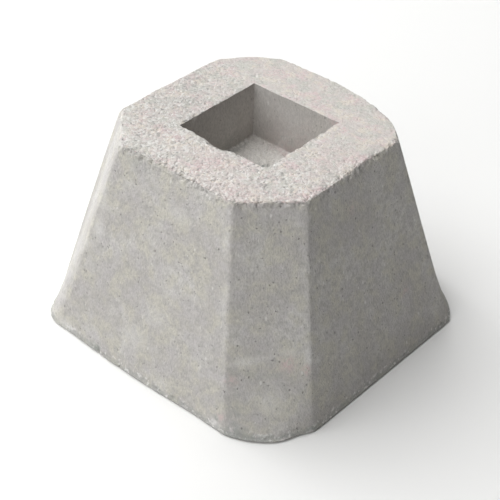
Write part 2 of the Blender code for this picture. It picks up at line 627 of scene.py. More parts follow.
    def mouth_lip(self, mouth: np.ndarray, half: float) -> np.ndarray:
        """Return how wide the slant of the mouth's worn edge is.

        Args:
            mouth: The mouth's outline in plan.
            half: Half the mouth's side.

        Returns:
            The width at each point.
        """
        return self.crumble(mouth, self.pocket_crumble) + self.worn(mouth, half, self.pocket_wear)

    def lay_pocket(self) -> None:
        """Add the rings of the pocket's walls and floor."""
        half = self.pocket_side / 2.0
        start = self.height - self.mouth_lip(self.pocket_outline(half), half)
        floor_height = self.height - self.pocket_depth
        heel = floor_height + self.pocket_heel
        mouth_reach = 0.10
        for step in range(1, self.pocket_steps + 1):
            share = step / self.pocket_steps
            near_mouth = self.mouth_crumble * max(0.0, 1.0 - share / mouth_reach)
            height = start + (heel - start) * share
            self.ring(self.pocket_outline(half - self.pocket_draft * share), height, rim=near_mouth)
        inner_half = half - self.pocket_draft
        for step in range(1, self.heel_steps + 1):
            angle = math.pi / 2.0 * step / self.heel_steps
            inset = self.pocket_heel * (1.0 - math.cos(angle))
            height = heel - self.pocket_heel * math.sin(angle)
            self.ring(self.pocket_outline(inner_half - inset), height, floor=step / self.heel_steps)
        inner_half -= self.pocket_heel
        for step in range(1, self.floor_steps):
            share = 1.0 - step / self.floor_steps
            self.ring(self.pocket_outline(inner_half * share), floor_height, floor=1.0)

    def mesh(self, spots: tuple[Spot, ...]) -> bpy.types.Mesh:
        """Make the fine closed mesh, with its zones and stains stored on its points.

        Args:
            spots: The stains to mark.

        Returns:
            The mesh.
        """
        self.lay_foot()
        self.lay_sides()
        self.lay_top(self.lay_rim())
        self.lay_pocket()
        rings, count = len(self.points), len(self.points[0])
        floor_middle = np.array([[0.0, 0.0, self.height - self.pocket_depth]])
        places = np.concatenate(self.points + [floor_middle])
        index = np.arange(rings * count).reshape(rings, count)
        after = np.roll(index, -1, axis=1)
        quads = np.stack([index[:-1], after[:-1], after[1:], index[1:]], axis=2).reshape(-1, 4)
        faces = quads.tolist()
        faces.append(index[0, ::-1].tolist())
        middle = rings * count
        faces.extend([[a, b, middle] for a, b in zip(index[-1].tolist(), after[-1].tolist())])
        mesh = bpy.data.meshes.new("cast_concrete")
        mesh.from_pydata(places.tolist(), [], faces)
        for zone in Zone:
            last = 1.0 if zone is Zone.FLOOR else 0.0
            values = np.concatenate([np.concatenate(self.zones[zone]), [last]])
            self.store(mesh, zone.value, values)
        for stain in Stain:
            self.store(mesh, stain.value, self.stained(places, stain, spots))
        return mesh

    @staticmethod
    def stained(places: np.ndarray, stain: Stain, spots: tuple[Spot, ...]) -> np.ndarray:
        """Return how strongly each point is stained.

        Args:
            places: The points.
            stain: The kind of stain.
            spots: All the stains.

        Returns:
            The strength at each point, at most 1.
        """
        total = np.zeros(len(places))
        for spot in spots:
            if spot.stain is stain:
                gap = (places - np.array(spot.place)) / np.array(spot.reach)
                total += spot.strength * np.exp(-(gap**2).sum(axis=1))
        return np.minimum(total, 1.0)

    @staticmethod
    def store(mesh: bpy.types.Mesh, name: str, values: np.ndarray) -> None:
        """Store one number for each point.

        Args:
            mesh: The mesh.
            name: The attribute's name.
            values: The numbers.
        """
        layer = mesh.attributes.new(name, "FLOAT", "POINT")
        layer.data.foreach_set("value", values.astype(np.float32))


@dataclass(frozen=True)
class Relief:
    """A Geometry Nodes tree that roughens the casting: grain, crumbs, pits and pinholes."""

    sizes: dict[str, float] = field(default_factory=lambda: {
        "Grain size": 0.0024,
        "Grain depth": 0.0003,
        "Crumb size": 0.0060,
        "Crumb depth": 0.0008,
        "Pore spacing": 0.0065,
        "Pore depth": 0.0012,
        "Drift size": 0.030,
        "Top swell size": 0.022,
        "Top swell": 0.0006,
        "Rim size": 0.0065,
        "Rim depth": 0.0021,
        "Side swell size": 0.035,
        "Side swell": 0.0003,
        "Side grain size": 0.0030,
        "Side grain": 0.0004,
        "Pinhole spacing": 0.0040,
        "Pinhole reach": 0.22,
        "Pinhole depth": 0.0006,
        "Pinhole patch size": 0.028,
        "Floor lump size": 0.009,
        "Floor grain size": 0.0036,
        "Floor depth": 0.0026,
        "Foot chip size": 0.010,
        "Foot depth": 0.0014,
    })

    def tree(self) -> bpy.types.NodeTree:
        """Build the tree.

        Returns:
            The tree, with one input for the mesh and one for each size.
        """
        tree = bpy.data.node_groups.new("Concrete relief", "GeometryNodeTree")
        tree.interface.new_socket("Geometry", in_out="INPUT", socket_type="NodeSocketGeometry")
        for name, value in self.sizes.items():
            entry = tree.interface.new_socket(name, in_out="INPUT", socket_type="NodeSocketFloat")
            entry.default_value = value
        tree.interface.new_socket("Geometry", in_out="OUTPUT", socket_type="NodeSocketGeometry")
        wiring = Wiring(tree)
        given = wiring.add("NodeGroupInput").outputs
        place = wiring.add("GeometryNodeInputPosition").outputs[0]
        zone = {kind: self.read(wiring, kind.value) for kind in Zone}
        pit = self.pinholes(wiring, given, place, zone)
        depth = wiring.total(
            self.top_depth(wiring, given, place, zone),
            self.rim_depth(wiring, given, place, zone),
            self.side_depth(wiring, given, place, zone),
            self.floor_depth(wiring, given, place, zone),
            wiring.product(pit, given["Pinhole depth"]),
        )
        normal = wiring.add("GeometryNodeInputNormal").outputs[0]
        push = wiring.add("ShaderNodeVectorMath", operation="SCALE")
        wiring.feed(push.inputs[0], normal)
        wiring.feed(push.inputs["Scale"], wiring.math("MULTIPLY", depth, -1.0))
        body = given["Geometry"]
        for name, value in ((PIT, pit), (OPENNESS, self.openness(wiring, given, place))):
            keep = wiring.add("GeometryNodeStoreNamedAttribute", data_type="FLOAT", domain="POINT")
            wiring.feed(keep.inputs["Geometry"], body)
            keep.inputs["Name"].default_value = name
            wiring.feed(keep.inputs["Value"], value)
            body = keep.outputs[0]
        move = wiring.add("GeometryNodeSetPosition")
        wiring.feed(move.inputs["Geometry"], body)
        wiring.feed(move.inputs["Offset"], push.outputs[0])
        realize = wiring.add("GeometryNodeRealizeInstances")
        wiring.feed(realize.inputs[0], move.outputs[0])
        dress = wiring.add("GeometryNodeSetMaterial")
        wiring.feed(dress.inputs["Geometry"], realize.outputs[0])
        dress.inputs["Material"].default_value = bpy.data.materials["Cast concrete"]
        wiring.feed(wiring.add("NodeGroupOutput").inputs[0], dress.outputs[0])
        return tree

    @staticmethod
    def read(wiring: Wiring, name: str) -> Socket:
        """Read a stored number.

        Args:
            wiring: The tree's wiring.
            name: The attribute's name.

        Returns:
            Its value.
        """
        node = wiring.add("GeometryNodeInputNamedAttribute", data_type="FLOAT")
        node.inputs["Name"].default_value = name
        return node.outputs["Attribute"]

    @staticmethod
    def openness(wiring: Wiring, given: dict, place: Socket) -> Socket:
        """Return how open the top's grain is: most at the front left edge, least at the back.

        Args:
            wiring: The tree's wiring.
            given: The tree's inputs.
            place: The position that patterns are read at.

        Returns:
            The openness, about 0.4 to 1.
        """
        across, along, _ = wiring.split(place)
        lean = wiring.total(wiring.product(across, 0.25), along)
        drift = wiring.math("SUBTRACT", wiring.noise(place, given["Drift size"]), 0.5)
        bent = wiring.total(lean, wiring.product(drift, 0.10))
        return wiring.ramp(bent, -0.045, 0.085, start=1.0, end=0.4)

    def top_depth(self, wiring: Wiring, given: dict, place: Socket, zone: dict[Zone, Socket]) -> Socket:
        """Return the depth of the open, grainy top: grains, missing crumbs, pores and a slow swell.

        Args:
            wiring: The tree's wiring.
            given: The tree's inputs.
            place: The position that patterns are read at.
            zone: How far a point is in each zone.

        Returns:
            The depth, in metres.
        """
        gap, tint = wiring.cells(place, given["Grain size"])
        dome = wiring.ramp(gap, 0.1, 0.75)
        step = wiring.split(tint)[0]
        grains = wiring.product(wiring.total(dome, wiring.product(step, 0.55)), given["Grain depth"])
        lumps = wiring.noise(place, given["Crumb size"], detail=3.0, roughness=0.6)
        crumbs = wiring.product(wiring.ramp(lumps, 0.52, 0.72), given["Crumb depth"])
        hollow, chance = wiring.cells(place, given["Pore spacing"])
        narrow = wiring.ramp(hollow, 0.05, 0.24, start=1.0, end=0.0)
        chosen = wiring.math("GREATER_THAN", wiring.split(chance)[0], 0.55)
        pores = wiring.product(narrow, chosen, given["Pore depth"])
        swell = wiring.product(wiring.noise(place, given["Top swell size"]), given["Top swell"])
        rough = wiring.product(wiring.total(grains, crumbs, pores), self.openness(wiring, given, place))
        return wiring.product(wiring.total(rough, swell), zone[Zone.TOP])

    @staticmethod
    def rim_depth(wiring: Wiring, given: dict, place: Socket, zone: dict[Zone, Socket]) -> Socket:
        """Return how far the crumbled rim is ragged back: most at the front, least at the back.

        Args:
            wiring: The tree's wiring.
            given: The tree's inputs.
            place: The position that patterns are read at.
            zone: How far a point is in each zone.

        Returns:
            The depth, in metres.
        """
        lumps = wiring.noise(place, given["Rim size"], detail=4.0, roughness=0.70)
        ragged = wiring.product(wiring.ramp(lumps, 0.42, 0.68), given["Rim depth"])
        across, along, _ = wiring.split(place)
        lean = wiring.total(along, wiring.product(across, -0.35))
        front = wiring.ramp(lean, 0.0, 0.06, start=1.0, end=0.3)
        left = wiring.ramp(across, -0.080, -0.055, start=0.25, end=1.0)
        return wiring.product(ragged, zone[Zone.RIM], front, left)

    @staticmethod
    def side_depth(wiring: Wiring, given: dict, place: Socket, zone: dict[Zone, Socket]) -> Socket:
        """Return the moulded sides' slow swell, fine grain and chipped foot.

        Args:
            wiring: The tree's wiring.
            given: The tree's inputs.
            place: The position that patterns are read at.
            zone: How far a point is in each zone.

        Returns:
            The depth, in metres.
        """
        slow = wiring.noise(place, given["Side swell size"], detail=1.0)
        swell = wiring.product(slow, given["Side swell"])
        drawn = wiring.stretch(place, (1.0, 1.0, 0.6))
        fine = wiring.noise(drawn, given["Side grain size"], detail=2.0)
        grain = wiring.product(fine, given["Side grain"])
        lumps = wiring.noise(place, given["Foot chip size"], detail=3.0, roughness=0.6)
        chips = wiring.product(wiring.ramp(lumps, 0.56, 0.70), given["Foot depth"], zone[Zone.FOOT])
        return wiring.product(wiring.total(swell, grain, chips), zone[Zone.SIDE])

    @staticmethod
    def floor_depth(wiring: Wiring, given: dict, place: Socket, zone: dict[Zone, Socket]) -> Socket:
        """Return the pocket floor's rough, pitted depth.

        Args:
            wiring: The tree's wiring.
            given: The tree's inputs.
            place: The position that patterns are read at.
            zone: How far a point is in each zone.

        Returns:
            The depth, in metres.
        """
        lumps = wiring.noise(place, given["Floor lump size"], detail=4.0, roughness=0.6)
        gap, _ = wiring.cells(place, given["Floor grain size"])
        grains = wiring.product(wiring.ramp(gap, 0.1, 0.7), 0.35)
        depth = wiring.total(wiring.ramp(lumps, 0.35, 0.75), grains)
        return wiring.product(depth, given["Floor depth"], zone[Zone.FLOOR])

    @staticmethod
    def pinholes(wiring: Wiring, given: dict, place: Socket, zone: dict[Zone, Socket]) -> Socket:
        """Return how deep in a pinhole of the moulded sides a point is.

        Args:
            wiring: The tree's wiring.
            given: The tree's inputs.
            place: The position that patterns are read at.
            zone: How far a point is in each zone.

        Returns:
            The share of the full depth, 0 to 1.
        """
        gap, tint = wiring.cells(place, given["Pinhole spacing"])
        chance, girth, _ = wiring.split(tint)
        reach = wiring.product(given["Pinhole reach"], wiring.total(0.35, wiring.product(girth, 0.65)))
        inside = wiring.math("SUBTRACT", 1.0, wiring.math("DIVIDE", gap, reach), clamp=True)
        patchy = wiring.ramp(wiring.noise(place, given["Pinhole patch size"]), 0.40, 0.62)
        chosen = wiring.math("GREATER_THAN", wiring.total(chance, wiring.product(patchy, 0.35)), 0.62)
        return wiring.product(wiring.ramp(inside, 0.0, 0.6), chosen, zone[Zone.SIDE])


@dataclass(frozen=True)
class Palette:
    """The concrete's colours, as the reflectance of each; the colour of pores and pinholes is painted
    shade, the pale chip colour also paints light and highlights, and the colour of dampness also paints
    shade.
    """

    side: Colour = (0.50, 0.48, 0.455, 1.0)
    side_pale: Colour = (0.58, 0.565, 0.54, 1.0)
    side_dull: Colour = (0.44, 0.425, 0.405, 1.0)
    side_warm: Colour = (0.555, 0.535, 0.470, 1.0)
    side_cool: Colour = (0.51, 0.49, 0.485, 1.0)
    wall: Colour = (0.535, 0.51, 0.485, 1.0)
    floor: Colour = (0.70, 0.675, 0.64, 1.0)
    top: Colour = (0.60, 0.555, 0.53, 1.0)
    pink: Colour = (0.65, 0.52, 0.52, 1.0)
    cream: Colour = (0.69, 0.64, 0.56, 1.0)
    green: Colour = (0.54, 0.54, 0.50, 1.0)
    white: Colour = (0.75, 0.74, 0.715, 1.0)
    slate: Colour = (0.34, 0.335, 0.33, 1.0)
    # Painted shade inside pinholes and pores.
    pore_shade: Colour = (0.20, 0.19, 0.18, 1.0)
    # Pale stains and chips, and painted light and highlights.
    bloom: Colour = (0.72, 0.71, 0.69, 1.0)
    blush: Colour = (0.62, 0.50, 0.49, 1.0)
    # Stains of dampness, and painted shade and contact shadow.
    damp: Colour = (0.27, 0.29, 0.27, 1.0)


@dataclass(frozen=True)
class CastFinish:
    """The casting's finish: grey moulded sides, a pale speckled top, pores painted dark as their shade,
    and stains, some of them painted light and shade.
    """

    palette: Palette = Palette()
    name: str = "Cast concrete"
    roughness: float = 0.93
    specular: float = 0.25
    cloud_size: float = 0.034
    tinge_size: float = 0.016
    mottle_size: float = 0.0055
    grit_size: float = 0.0013
    pinhole_spacing: float = 0.0040
    pinhole_patch: float = 0.028
    fleck_spacing: float = 0.0052
    foot_band_size: float = 0.0060
    flake_size: float = 0.0042
    spill_size: float = 0.0075
    speckle_size: float = 0.0020
    hollow_size: float = 0.0034
    hollow_patch: float = 0.024
    stain_size: float = 0.0045
    bloom_and_light_size: float = 0.0026
    bump_depth: float = 0.0009
    drawn: tuple[float, float, float] = (1.0, 1.0, 0.45)
    dotted: tuple[float, float, float] = (1.0, 1.0, 0.75)

    def make(self) -> bpy.types.Material:
        """Build the material.

        Returns:
            The material.
        """
        material = bpy.data.materials.new(self.name)
        material.use_nodes = True
        wiring = Wiring(material.node_tree)
        shader = material.node_tree.nodes["Principled BSDF"]
        place = wiring.add("ShaderNodeTexCoord").outputs["Object"]
        zone = {kind: self.read(wiring, kind.value) for kind in Zone}
        colour = self.body_colour(wiring, place, zone)
        colour = self.stained(wiring, place, colour)
        wiring.feed(shader.inputs["Base Color"], colour)
        shader.inputs["Roughness"].default_value = self.roughness
        shader.inputs["Specular IOR Level"].default_value = self.specular
        wiring.feed(shader.inputs["Normal"], self.bump(wiring, place, zone))
        return material

    @staticmethod
    def read(wiring: Wiring, name: str) -> Socket:
        """Read a number stored on the mesh.

        Args:
            wiring: The tree's wiring.
            name: The attribute's name.

        Returns:
            Its value.
        """
        node = wiring.add("ShaderNodeAttribute", attribute_type="GEOMETRY", attribute_name=name)
        return node.outputs["Fac"]

    def body_colour(self, wiring: Wiring, place: Socket, zone: dict[Zone, Socket]) -> Socket:
        """Return the concrete's colour before stains.

        Args:
            wiring: The tree's wiring.
            place: The position that patterns are read at.
            zone: How far a point is in each zone.

        Returns:
            The colour.
        """
        paint = self.palette
        side = self.moulded(wiring, place)
        covered = wiring.total(zone[Zone.SIDE], zone[Zone.TOP], zone[Zone.FLOOR])
        wall = wiring.math("SUBTRACT", 1.0, covered, clamp=True)
        side = wiring.mix(wiring.product(wall, 0.85), side, paint.wall)
        side = wiring.mix(wiring.product(zone[Zone.FLOOR], 0.8), side, paint.floor)
        side = self.chipped(wiring, place, zone[Zone.FOOT], side)
        side = self.gritty(wiring, place, side)
        ragged = wiring.noise(place, self.spill_size, detail=4.0, roughness=0.62)
        spill = wiring.math("SUBTRACT", ragged, 0.5)
        edge = wiring.total(zone[Zone.TOP], wiring.product(spill, zone[Zone.RIM], 2.4))
        shown = wiring.ramp(edge, 0.25, 0.45)
        return wiring.mix(shown, side, self.speckled(wiring, place))

    def moulded(self, wiring: Wiring, place: Socket) -> Socket:
        """Return the moulded sides' colour: slow clouds and a finer mottle.

        Args:
            wiring: The tree's wiring.
            place: The position that patterns are read at.

        Returns:
            The colour.
        """
        paint = self.palette
        cloud = wiring.noise(place, self.cloud_size, detail=3.0, roughness=0.55)
        colour = wiring.mix(wiring.ramp(cloud, 0.40, 0.66), paint.side, paint.side_pale)
        tinge = wiring.noise(wiring.moved(place, 3.1), self.tinge_size, detail=2.0)
        colour = wiring.mix(wiring.ramp(tinge, 0.48, 0.62, end=0.75), colour, paint.side_warm)
        colour = wiring.mix(wiring.ramp(tinge, 0.48, 0.36, end=0.75), colour, paint.side_cool)
        mottle = wiring.noise(place, self.mottle_size, detail=3.0, roughness=0.6)
        return wiring.mix(wiring.ramp(mottle, 0.42, 0.70, end=0.8), colour, paint.side_dull)

    def chipped(self, wiring: Wiring, place: Socket, foot: Socket, colour: Socket) -> Socket:
        """Lay the foot's darker band, a stain of dampness with painted shade where the edge turns under
        to the floor, and its pale chips over the colour.

        Args:
            wiring: The tree's wiring.
            place: The position that patterns are read at.
            foot: How near the foot a point is, 0 to 1.
            colour: The colour below them.

        Returns:
            The colour with its foot.
        """
        paint = self.palette
        # The darker band along the foot: a stain of dampness and painted shade at the floor.
        wander = wiring.math("SUBTRACT", wiring.noise(place, self.foot_band_size, detail=3.0), 0.5)
        band = wiring.ramp(wiring.total(foot, wiring.product(wander, 1.2)), 0.50, 0.75)
        colour = wiring.mix(wiring.product(band, 0.38), colour, paint.damp)
        flakes = wiring.noise(wiring.moved(place, 5.3), self.flake_size, detail=2.0, roughness=0.6)
        chips = wiring.product(wiring.ramp(flakes, 0.56, 0.64), wiring.ramp(foot, 0.0, 0.35))
        return wiring.mix(wiring.product(chips, 0.75), colour, paint.bloom)

    def gritty(self, wiring: Wiring, place: Socket, colour: Socket) -> Socket:
        """Lay fine grit, pinholes painted dark as the shade inside them, and pale flecks over the colour.

        Args:
            wiring: The tree's wiring.
            place: The position that patterns are read at.
            colour: The colour below them.

        Returns:
            The colour with its grit.
        """
        paint = self.palette
        drawn = wiring.stretch(place, self.drawn)
        grit = wiring.noise(drawn, self.grit_size, detail=3.0, roughness=0.65)
        colour = wiring.shaded(colour, wiring.ramp(grit, 0.28, 0.72, start=0.87, end=1.13))
        # Dark specks: painted shade inside small pinholes.
        patchy = wiring.ramp(wiring.noise(place, self.pinhole_patch), 0.40, 0.62, end=0.25)
        dotted = wiring.stretch(place, self.dotted)
        dark = self.specks(wiring, dotted, self.pinhole_spacing, wiring.total(0.18, patchy))
        colour = wiring.mix(wiring.product(dark, 0.58), colour, paint.pore_shade)
        pale = self.specks(wiring, wiring.moved(drawn, 1.7), self.fleck_spacing, 0.30)
        return wiring.mix(wiring.product(pale, 0.60), colour, paint.white)

    @staticmethod
    def specks(wiring: Wiring, place: Socket, spacing: float, share: Value) -> Socket:
        """Return small round specks of many sizes.

        Args:
            wiring: The tree's wiring.
            place: The position that they are read at.
            spacing: How far apart they could be, in metres.
            share: The share of them that is there.

        Returns:
            How far a point is inside a speck, 0 to 1.
        """
        gap, tint = wiring.cells(place, spacing)
        chance, girth, _ = wiring.split(tint)
        reach = wiring.total(0.09, wiring.product(girth, girth, 0.12))
        inside = wiring.ramp(wiring.math("DIVIDE", gap, reach), 0.6, 1.2, start=1.0, end=0.0)
        return wiring.product(inside, wiring.math("LESS_THAN", chance, share))

    def speckled(self, wiring: Wiring, place: Socket) -> Socket:
        """Return the open top's colour: each grain its own, in clouds of pink, cream and green.

        Args:
            wiring: The tree's wiring.
            place: The position that patterns are read at.

        Returns:
            The colour.
        """
        paint = self.palette
        _, tint = wiring.cells(place, self.speckle_size)
        chance, kind, _ = wiring.split(tint)
        colour = paint.top
        clouds = ((0.0, 0.018, paint.pink), (2.3, 0.013, paint.cream), (4.9, 0.015, paint.green))
        for shift, size, shade in clouds:
            drift = wiring.noise(wiring.moved(place, shift), size, detail=3.0, roughness=0.6)
            grained = wiring.total(drift, wiring.product(wiring.math("SUBTRACT", chance, 0.5), 0.16))
            colour = wiring.mix(wiring.ramp(grained, 0.46, 0.64, end=0.75), colour, shade)
        openness = self.read(wiring, OPENNESS)
        light = wiring.product(wiring.ramp(kind, 0.55, 0.95), 0.75, openness)
        colour = wiring.mix(light, colour, paint.white)
        dark = wiring.product(wiring.ramp(kind, 0.20, 0.02), 0.65, openness)
        colour = wiring.mix(dark, colour, paint.slate)
        # The top's open pores, painted dark as the shade inside them.
        patchy = wiring.noise(wiring.moved(place, 7.7), self.hollow_patch, detail=2.0)
        cluster = wiring.total(0.25, wiring.product(wiring.ramp(patchy, 0.44, 0.62), 0.75))
        hollows = wiring.noise(place, self.hollow_size, detail=3.0, roughness=0.6)
        pores = wiring.product(wiring.ramp(hollows, 0.60, 0.70), cluster, openness)
        return wiring.mix(wiring.product(pores, 0.70), colour, paint.pore_shade)

    def stained(self, wiring: Wiring, place: Socket, colour: Socket) -> Socket:
        """Lay the stains, some of them painted light and shade, and the pinholes' painted shade over the
        colour.

        Args:
            wiring: The tree's wiring.
            place: The position that patterns are read at.
            colour: The colour below them.

        Returns:
            The stained colour.
        """
        paint = self.palette
        coarse = wiring.noise(place, self.stain_size, detail=4.0, roughness=0.68)
        broken = wiring.ramp(coarse, 0.40, 0.54)
        fine = wiring.noise(place, self.bloom_and_light_size, detail=4.0, roughness=0.65)
        flecked = wiring.ramp(fine, 0.34, 0.66, start=0.35, end=0.85)
        # The pale stain also paints light and highlights, and the dark one also paints shade and contact
        # shadow.
        covers = (
            (Stain.BLOOM, paint.bloom, flecked),
            (Stain.BLUSH, paint.blush, broken),
            (Stain.DAMP, paint.damp, broken),
        )
        for stain, cover, pattern in covers:
            share = wiring.product(self.read(wiring, stain.value), pattern)
            colour = wiring.mix(share, colour, cover)
        # Painted shade inside the pinholes that the relief pushes in.
        return wiring.mix(wiring.product(self.read(wiring, PIT), 0.85), colour, paint.pore_shade)

    def bump(self, wiring: Wiring, place: Socket, zone: dict[Zone, Socket]) -> Socket:
        """Return the surface's normal with its finest grain.

        Args:
            wiring: The tree's wiring.
            place: The position that patterns are read at.
            zone: How far a point is in each zone.

        Returns:
            The bumped normal.
        """
        drawn = wiring.stretch(place, self.drawn)
        grit = wiring.noise(drawn, self.grit_size, detail=4.0, roughness=0.65)
        dark = self.specks(wiring, wiring.stretch(place, self.dotted), self.pinhole_spacing, 0.40)
        gap, _ = wiring.cells(place, self.speckle_size)
        grain = wiring.ramp(gap, 0.1, 0.7, start=1.0, end=0.0)
        height = wiring.total(
            grit,
            wiring.product(grain, zone[Zone.TOP], 0.25),
            wiring.product(dark, zone[Zone.SIDE], -0.8),
        )
        node = wiring.add("ShaderNodeBump")
        node.inputs["Distance"].default_value = self.bump_depth
        node.inputs["Strength"].default_value = 1.0
        wiring.feed(node.inputs["Height"], height)
        return node.outputs[0]


@dataclass(frozen=True)
class GrainFinish:
    """The finish of the loose-looking grains: each its own shade of sand and stone."""

    palette: Palette = Palette()
    name: str = "Exposed grains"
    roughness: float = 0.90
    specular: float = 0.25
    fine_size: float = 0.0007

    def make(self) -> bpy.types.Material:
        """Build the material.

        Returns:
            The material.
        """
        material = bpy.data.materials.new(self.name)
        material.use_nodes = True
        wiring = Wiring(material.node_tree)
        shader = material.node_tree.nodes["Principled BSDF"]
        ramp = wiring.add("ShaderNodeValToRGB")
        paint = self.palette
        shades = (
            (0.0, paint.top), (0.30, paint.pink), (0.55, paint.cream),
            (0.68, paint.top), (0.82, paint.white), (0.94, paint.slate),
        )
        ramp.color_ramp.interpolation = "CONSTANT"
        stops = ramp.color_ramp.elements
        for number, (at, shade) in enumerate(shades):
            stop = stops[number] if number < 2 else stops.new(at)
            stop.position = at
            stop.color = shade
        wiring.feed(ramp.inputs["Fac"], CastFinish.read(wiring, TINT))
        place = wiring.add("ShaderNodeTexCoord").outputs["Object"]
        grain = wiring.noise(place, self.fine_size, detail=2.0)
        colour = wiring.mix(wiring.ramp(grain, 0.45, 0.75, end=0.35), ramp.outputs["Color"], paint.slate)
        wiring.feed(shader.inputs["Base Color"], colour)
        shader.inputs["Roughness"].default_value = self.roughness
        shader.inputs["Specular IOR Level"].default_value = self.specular
        return material


@dataclass(frozen=True)
class ExposedGrains:
    """Grains of sand and small stone bedded in the open top, scattered by Geometry Nodes."""

    name: str = "exposed_grains"
    sizes: dict[str, float] = field(default_factory=lambda: {
        "Grains per square metre": 120000.0,
        "Smallest": 0.00040,
        "Largest": 0.00090,
        "Sink": 0.00068,
    })
    seed: int = 11
    patch_size: float = 0.014
    flattest: float = 0.75
    longest: float = 1.25

    def tree(self, material: bpy.types.Material) -> bpy.types.NodeTree:
        """Build the tree that scatters the grains over a mesh's top.

        Args:
            material: The grains' finish.

        Returns:
            The tree.
        """
        tree = bpy.data.node_groups.new("Exposed grains", "GeometryNodeTree")
        tree.interface.new_socket("Geometry", in_out="INPUT", socket_type="NodeSocketGeometry")
        for name, value in self.sizes.items():
            entry = tree.interface.new_socket(name, in_out="INPUT", socket_type="NodeSocketFloat")
            entry.default_value = value
        tree.interface.new_socket("Geometry", in_out="OUTPUT", socket_type="NodeSocketGeometry")
        wiring = Wiring(tree)
        given = wiring.add("NodeGroupInput").outputs
        top = Relief.read(wiring, Zone.TOP.value)
        place = wiring.add("GeometryNodeInputPosition").outputs[0]
        patchy = wiring.ramp(wiring.noise(place, self.patch_size), 0.35, 0.6, start=0.35)
        scatter = wiring.add("GeometryNodeDistributePointsOnFaces", distribute_method="RANDOM")
        wiring.feed(scatter.inputs["Mesh"], given["Geometry"])
        density = wiring.product(given["Grains per square metre"], wiring.ramp(top, 0.4, 0.9), patchy)
        wiring.feed(scatter.inputs["Density"], density)
        scatter.inputs["Seed"].default_value = self.seed
        stone = wiring.add("GeometryNodeMeshIcoSphere")
        stone.inputs["Radius"].default_value = 1.0
        stone.inputs["Subdivisions"].default_value = 1
        stand = wiring.add("GeometryNodeInstanceOnPoints")
        wiring.feed(stand.inputs["Points"], scatter.outputs["Points"])
        wiring.feed(stand.inputs["Instance"], stone.outputs["Mesh"])
        turn = self.random(wiring, "FLOAT_VECTOR", 2, (0.0, 0.0, 0.0), (math.tau,) * 3)
        wiring.feed(stand.inputs["Rotation"], turn)
        girth = self.random(wiring, "FLOAT", 3, given["Smallest"], given["Largest"])
        shape = self.random(wiring, "FLOAT_VECTOR", 4, (self.flattest,) * 3, (self.longest,) * 3)
        scale = wiring.add("ShaderNodeVectorMath", operation="SCALE")
        wiring.feed(scale.inputs[0], shape)
        wiring.feed(scale.inputs["Scale"], girth)
        wiring.feed(stand.inputs["Scale"], scale.outputs[0])
        keep = wiring.add("GeometryNodeStoreNamedAttribute", data_type="FLOAT", domain="INSTANCE")
        wiring.feed(keep.inputs["Geometry"], stand.outputs[0])
        keep.inputs["Name"].default_value = TINT
        wiring.feed(keep.inputs["Value"], self.random(wiring, "FLOAT", 5, 0.0, 1.0))
        sunk = wiring.add("GeometryNodeTranslateInstances")
        wiring.feed(sunk.inputs["Instances"], keep.outputs[0])
        drop = wiring.add("ShaderNodeCombineXYZ")
        wiring.feed(drop.inputs[2], wiring.math("MULTIPLY", given["Sink"], -1.0))
        wiring.feed(sunk.inputs["Translation"], drop.outputs[0])
        sunk.inputs["Local Space"].default_value = False
        realize = wiring.add("GeometryNodeRealizeInstances")
        wiring.feed(realize.inputs[0], sunk.outputs[0])
        dress = wiring.add("GeometryNodeSetMaterial")
        wiring.feed(dress.inputs["Geometry"], realize.outputs[0])
        dress.inputs["Material"].default_value = material
        wiring.feed(wiring.add("NodeGroupOutput").inputs[0], dress.outputs[0])
        return tree

    @staticmethod
    def random(wiring: Wiring, kind: str, seed: int, low: Value, high: Value) -> Socket:
        """Add a random number or vector for each grain.

        Args:
            wiring: The tree's wiring.
            kind: FLOAT or FLOAT_VECTOR.
            seed: The draw's own fixed seed.
            low: The least value.
            high: The most.

        Returns:
            The random value.
        """
        node = wiring.add("FunctionNodeRandomValue", data_type=kind)
        pair = {"FLOAT_VECTOR": (0, 1, 0), "FLOAT": (2, 3, 1)}[kind]
        wiring.feed(node.inputs[pair[0]], low)
        wiring.feed(node.inputs[pair[1]], high)
        node.inputs["Seed"].default_value = seed
        return node.outputs[pair[2]]


